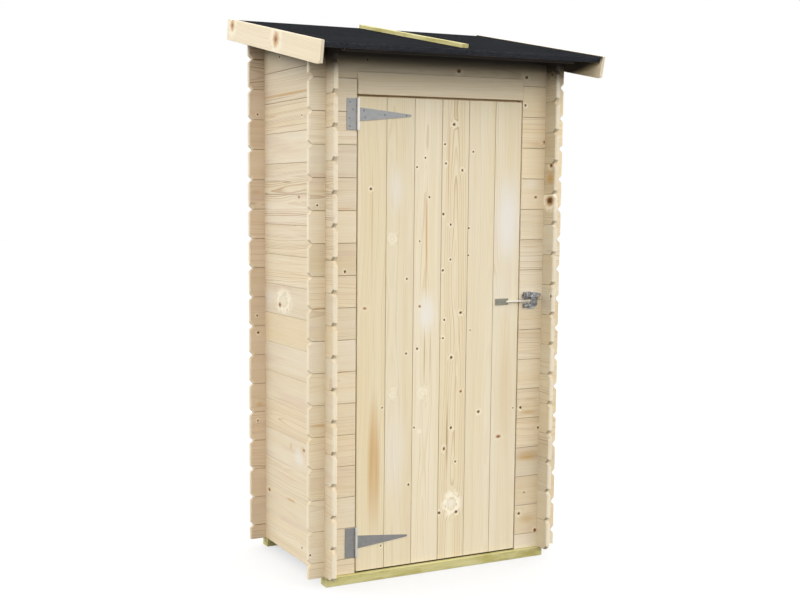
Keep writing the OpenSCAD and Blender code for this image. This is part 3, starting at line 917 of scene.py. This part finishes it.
def make_brace():
    """The CAD outline of the brace, with its edges eased."""
    low, high = box_in("door_brace", FRONT)
    corners = [FRONT.inverted() @ v.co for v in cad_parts["door_brace"].data.vertices]
    foot = [corner.x for corner in corners if corner.y < low.y + 1 * MM]
    head = [corner.x for corner in corners if corner.y > high.y - 1 * MM]
    outline = free_outline(
        (min(foot), low.y), (max(foot), low.y), (max(head), high.y), (min(head), high.y)
    )
    brace = Timber(31)
    brace.add(slab(outline, plain_layers(high.z - low.z), low.z), FRONT, 1)
    brace.piece("door_brace_timber", INNER_WOOD, "door", "inner_timber", "door_brace")


def make_head_board():
    """The board over the door. Its left end stands off the wall under the notch."""
    low, high = box_in("door_head_board", FRONT)
    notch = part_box("front_wall_top")[0].z - BASE
    gap = 3.5 * MM
    outline = free_outline(
        (low.x + gap, low.y), (high.x, low.y), (high.x, high.y), (low.x, high.y),
        (low.x, notch), (low.x + gap, notch),
    )
    solid = slab(outline, plain_layers(high.z - low.z, 0.8 * MM), low.z)
    board = Timber(37)
    # A light tone, partly painted light in the shade under the eave
    board.add(solid, FRONT, 0, (0.3, 1, 0.3), (60, 50))
    board.piece("door_head_board_timber", WALL_WOOD, "shed", "wall_boards", "door_head_board")


make_board_row(
    "door_boards", "door_leaf", FRONT, 115 * MM, Timber(21, DOOR_KNOTS, DOOR_STAINS), DOOR_WOOD,
    "door", "door_boards", DOOR_LOOKS, bevel=DOOR_BEVEL, ease=1 * MM,
)
make_brace()
for seed, node in enumerate(("door_top_ledge", "door_bottom_ledge"), 32):
    make_stick(node, FRONT, 0, seed, INNER_WOOD, "inner_timber", "door")
for seed, node in enumerate(("left_jamb_post", "right_jamb_post"), 34):
    make_stick(node, FRONT, 1, seed, INNER_WOOD, "inner_timber")
make_stick("door_head_stop", FRONT, 0, 36, INNER_WOOD, "inner_timber")
make_head_board()


# ---- Roof, floor and bearers ----
def make_barge_board(side):
    node = side + "_barge_board"
    low, high = box_in(node, ROOF)
    outline = rectangle(low.yz, high.yz)
    rise = BARGE_NOSE * math.tan(PITCH)
    start = Vector((low.y, low.z + rise))
    end = Vector((low.y + BARGE_NOSE, low.z))
    normal = Vector((rise, BARGE_NOSE)).normalized()
    outline = clip(outline, start.lerp(end, 0.5), normal)
    solid = slab(outline, plain_layers(high.x - low.x, 0.9 * MM))
    # Drawn with the slope along x and the height along y; the depth runs inwards
    inwards = 1 if side == "left" else -1
    face = low.x if side == "left" else high.x
    turn = ROOF @ plane((face, 0, 0), (0, 1, 0), (0, 0, 1), (inwards, 0, 0))
    rows = {"left": [(629, 2, 20, 20), (193, -10, 24, 25)], "right": [(330, 0, 12, 15)]}
    rings = stains(*[(x, y, 2 * wide, 1.5 * tall, 0.5) for x, y, wide, tall in rows[side]])
    deck_front = box_in("roof_deck", ROOF)[0].y
    reach, fade, slant = 45 * MM, 80 * MM, 2.3

    def painted_inner_shade(point, inside):
        """Painted shade reaches over the board's inner face, but not to its front end."""
        spot = ROOF.inverted() @ point
        return (deck_front + reach - spot.y - slant * spot.z) / fade if inside else 1

    board = Timber(41 if side == "left" else 42, knots(SOUND, *rows[side]), rings)
    board.add(solid, turn, 0, (0.1, 0.2, 0.8), (75, 60), out_of_painted_shade=painted_inner_shade)
    board.piece(node + "_timber", BARGE_WOOD, "shed", "barge_boards", node)


def make_felt():
    """Felt sheets that run up the slope, folded down over the deck's edges."""
    low, high = box_in("roof_felt", ROOF)
    deck_low, deck_high = box_in("roof_deck", ROOF)
    bend, steps, rows, columns = 5 * MM, 6, 24, 64

    def fold(y, z, start):
        """A quarter turn of the felt round a point."""
        angles = [math.radians(start - 90 * i / steps) for i in range(steps + 1)]
        return [(y + bend * math.cos(angle), z + bend * math.sin(angle)) for angle in angles]

    run = high.y - low.y - 2 * bend
    slope = [(low.y + bend + run * i / rows, high.z) for i in range(1, rows)]
    front, back = fold(low.y + bend, high.z - bend, 180), fold(high.y - bend, high.z - bend, 90)
    skin = [(low.y, low.z), *front, *slope, *back, (high.y, low.z)]
    noise = random.Random(51)
    # Limits of each wave's radians a metre along x and along y, its phase and its size
    limits = ((4, 18), (3, 14), (0, 6), (0.1, 0.3))
    waves = [[noise.uniform(*limit) for limit in limits] for _ in range(7)]
    solid = bmesh.new()

    def sag(x, y):
        """The felt lies down a little unevenly between the nails."""
        swell = sum(size * math.sin(a * x + b * y + c) for a, b, c, size in waves)
        return -abs(swell) * 0.8 * MM

    rings = []
    for i in range(columns + 1):
        x = low.x + (high.x - low.x) * i / columns
        outer, inner = [], []
        for y, z in skin:
            flat = low.y + 2 * bend < y < high.y - 2 * bend
            drop = sag(x, y) if flat else 0
            ragged = 0.6 * MM * (1 + math.sin(21 * x) * math.sin(8 * x + 1))
            edge = ragged if z == low.z else 0
            outer.append(solid.verts.new((x, y, z + drop + edge)))
            y_in = min(max(y, deck_low.y), deck_high.y)
            inner.append(solid.verts.new((x, y_in, min(z, deck_high.z) + edge)))
        rings.append(outer + inner[::-1])
    for first, second in zip(rings, rings[1:]):
        join_rings(solid, first, second)
    for ring in (rings[0], rings[-1]):
        for j in range(len(skin) - 1):
            solid.faces.new((ring[j], ring[j + 1], ring[-j - 2], ring[-j - 1]))
    bmesh.ops.remove_doubles(solid, verts=solid.verts, dist=0.01 * MM)
    for face in solid.faces:
        face.smooth = True
    mesh = mesh_of("roof_felt_sheet", solid)
    mesh.transform(ROOF)
    mesh.set_sharp_from_angle(angle=math.radians(40))
    place_piece("roof_felt_sheet", mesh, FELT, "shed", "felt", "roof_felt")


# The deck boards and the eave batten take the near-black wood: painted shade under the eave
make_board_row(
    "roof_deck_boards", "roof_deck", ROOF, 94 * MM, Timber(43), SHADE_DARK_WOOD, "shed", "inner_timber"
)
make_board_row(
    "floor_boards_timber", "floor_boards", FLOOR, 90 * MM, Timber(44), INNER_WOOD,
    "shed", "inner_timber",
)
make_barge_board("left")
make_barge_board("right")
make_felt()
make_stick("eave_batten", ROOF, 0, 45, SHADE_DARK_WOOD, "inner_timber")
make_stick("roof_seam_batten", ROOF, 1, 46, TREATED_WOOD, "treated_timber", ease=1 * MM)
bearer_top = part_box("front_bearer")[1].z


def painted_door_gap_shade(point, _):
    """The gap under the door is painted dark as shade, from just behind the door's face."""
    under = abs(point.x) < DOORWAY and point.z > bearer_top - 3 * MM
    return 1 - (point.y - FACE) / (5 * MM) if under else 1


# The bearer is cut where the painted shade under the door starts and fades
make_stick(
    "front_bearer", FRONT, 0, 47, TREATED_WOOD, "treated_timber", ease=2.5 * MM,
    cuts=[
        (0, -DOORWAY), (0, DOORWAY), (0, 1 * MM - DOORWAY), (0, DOORWAY - 1 * MM),
        (1, bearer_top - BASE - 3 * MM), (2, 0), (2, 5 * MM),
    ],
    out_of_painted_shade=painted_door_gap_shade,
)
make_stick("back_bearer", FRONT, 0, 48, TREATED_WOOD, "treated_timber", ease=2.5 * MM)


# ---- Hinges and latch: the CAD nodes stay, with their edges broken ----
def break_edges(node, material):
    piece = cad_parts[node]
    weld = piece.modifiers.new("weld", "WELD")
    weld.merge_threshold = 0.01 * MM
    bevel = piece.modifiers.new("bevel", "BEVEL")
    bevel.width = 0.4 * MM
    bevel.segments = 2
    bevel.limit_method = "ANGLE"
    bevel.angle_limit = math.radians(40)
    piece.data.materials.clear()
    piece.data.materials.append(material)


def screw_head(solid, place):
    """A low dome with a cross recess. It stands on the drawing plane of its place."""
    radius, rise, sides = 3.8 * MM, 1.1 * MM, 16
    half, reach = 0.5 * MM, 2.1 * MM       # of the recess's four arms
    angles = [2 * math.pi * (i + 0.5) / sides for i in range(sides)]
    circle = [(radius * math.cos(angle), radius * math.sin(angle)) for angle in angles]
    arm = [(half, half), (half, reach), (-half, reach)]
    cross = []
    for _ in range(4):
        cross += arm
        arm = [(-y, x) for x, y in arm]
    base = ring_of(solid, place, circle, 0.3 * MM)
    crown = ring_of(solid, place, [(0.75 * x, 0.75 * y) for x, y in circle], -rise)
    rim = ring_of(solid, place, cross, -rise)
    pit = ring_of(solid, place, cross, -0.2 * MM)
    join_rings(solid, base, crown)
    join_rings(solid, rim, pit)
    solid.faces.new(base)
    solid.faces.new(pit)
    edges = [
        solid.edges.get(pair) or solid.edges.new(pair)
        for ring in (crown, rim)
        for pair in zip(ring, ring[1:] + ring[:1])
    ]
    bmesh.ops.triangle_fill(solid, use_beauty=True, edges=edges)


def make_screws(name, material, body, groups):
    """Screw heads on the plates of the wall or the door."""
    solid = bmesh.new()
    number = 0
    for node, (across, up, proud, steps) in groups.items():
        low, high = box_in(node, FRONT)
        for right, rise in steps:
            x = low.x + across * (high.x - low.x) + right * MM
            y = low.y + up * (high.y - low.y) + rise * MM
            turn = Matrix.Rotation(SCREW_TURN * number, 4, "Z")
            screw_head(solid, FRONT @ Matrix.Translation((x, y, -proud * MM)) @ turn)
            number += 1
    place_piece(name, mesh_of(name, solid), material, body, "galvanised_steel")


METALS = {
    ZINC: ["top_hinge_plate", "top_hinge_pin", "top_hinge_strap"],
    LOW_ZINC: ["bottom_hinge_plate", "bottom_hinge_pin", "bottom_hinge_strap"],
    STRIKER_ZINC: ["latch_striker"],
    CAST_ZINC: ["latch_catch", "latch_pin", "latch_pawl"],
}
for metal, nodes in METALS.items():
    for metal_node in nodes:
        break_edges(metal_node, metal)

# Screws: the shares of a node's width and height at which they start, how far their plate
# stands before the wall, and the steps to each of them, in millimetres
PLATE = (0, 0.5, 2.5, [(12, 42), (24, 16), (12, -14), (12, -42)])
STRAP = (1, 0.5, 2.5, [(19, 13), (25, -11), (103, 0), (191, 0)])
CATCH = (0, 0, 2.5, [(44, 9), (64, 32)])
STRIKER = (0, 0.5, 3, [(9, 0), (30, 0)])
SCREW_TURN = 0.9           # from one cross recess to the next

on_wall = {"top_hinge_plate": PLATE, "bottom_hinge_plate": PLATE, "latch_catch": CATCH}
on_door = {"top_hinge_plate": STRAP, "bottom_hinge_plate": STRAP, "latch_striker": STRIKER}
make_screws("wall_screws", FLUSH_ZINC, "shed", on_wall)
make_screws("door_screws", SCREW_ZINC, "door", on_door)


# ---- Stage: a pale floor, soft light and the camera ----
WORLD_LEVEL = 3.18


def camera_only(n, shown, hidden):
    """Mixes two shaders: what the camera, gloss and glass see, and what lights the object."""
    path = n.add("LightPath", {}, "Is Camera Ray").node
    seen = n.calc("MAXIMUM", path.outputs["Is Camera Ray"], path.outputs["Is Glossy Ray"])
    seen = n.calc("MAXIMUM", seen, path.outputs["Is Transmission Ray"])
    return n.add("MixShader", {0: seen, 1: hidden, 2: shown})


def make_floor():
    mesh = bpy.data.meshes.new("floor")
    size = 30
    corners = [(-size, -size, 0), (size, -size, 0), (size, size, 0), (-size, size, 0)]
    mesh.from_pydata(corners, [], [(0, 1, 2, 3)])
    n = Nodes("pale_floor")
    white = n.add("Emission", {"Color": (1, 1, 1, 1), "Strength": 0.62})
    pale = n.add("BsdfDiffuse", {"Color": (0.3, 0.3, 0.3, 1)})
    shown = n.add("AddShader", {0: white, 1: pale})
    hidden = n.add("BsdfDiffuse", {"Color": (0.05, 0.05, 0.05, 1)})
    output = n.tree.nodes["Material Output"]
    n.feed(output.inputs["Surface"], camera_only(n, shown, hidden))
    mesh.materials.append(n.material)
    floor = bpy.data.objects.new("floor", mesh)
    bpy.context.scene.collection.objects.link(floor)


def make_world():
    """A soft dome of light behind a plain white background.

    It is dimmer at the horizon, overhead and behind the camera.
    """
    world = bpy.data.worlds.new("studio")
    bpy.context.scene.world = world
    n = Nodes.__new__(Nodes)
    world.use_nodes = True
    n.tree = world.node_tree
    n.tree.nodes.clear()
    x, y, height = n.split(n.add("TexCoord", {}, "Generated"))
    low_down = n.ease(height, 0, 0.22, 0.05, 1)
    overhead = n.ease(height, 0.92, 0.5, 0.2, 1)
    frontal = n.linear(x, -0.6, n.times(y, -0.8))
    frontal = n.ease(frontal, 0.2, 0.95, 1, 0.65)
    level = n.times(n.times(n.times(low_down, overhead), frontal), WORLD_LEVEL)
    shown = n.add("Background", {"Color": (1, 1, 1, 1), "Strength": 1})
    hidden = n.add("Background", {"Color": (1, 1, 1, 1), "Strength": level})
    output = n.tree.nodes.new("ShaderNodeOutputWorld")
    n.feed(output.inputs["Surface"], camera_only(n, shown, hidden))


def add_lamp(name, place, target, size, power):
    light = bpy.data.lights.new(name, "AREA")
    light.size = size
    light.energy = power
    lamp = bpy.data.objects.new(name, light)
    lamp.location = place
    lamp.rotation_euler = (Vector(target) - Vector(place)).to_track_quat("-Z", "Y").to_euler()
    bpy.context.scene.collection.objects.link(lamp)


def make_camera():
    """The photograph's camera, as fitted to the shed's edges."""
    data = bpy.data.cameras.new("camera")
    data.sensor_width = 36
    data.lens = 52.686
    data.shift_x = 0.1254
    data.shift_y = 0.0275
    camera = bpy.data.objects.new("camera", data)
    camera.location = (-2.2591, -3.9543, 1.4135)
    camera.rotation_euler = (math.pi / 2 - 0.1083, 0, -0.427)
    bpy.context.scene.collection.objects.link(camera)
    bpy.context.scene.camera = camera


make_floor()
make_world()
add_lamp("key", (-3.0, -4.5, 4.2), (0, 0, 1.0), 3.0, 4)
make_camera()
bpy.context.scene.view_settings.view_transform = "Standard"
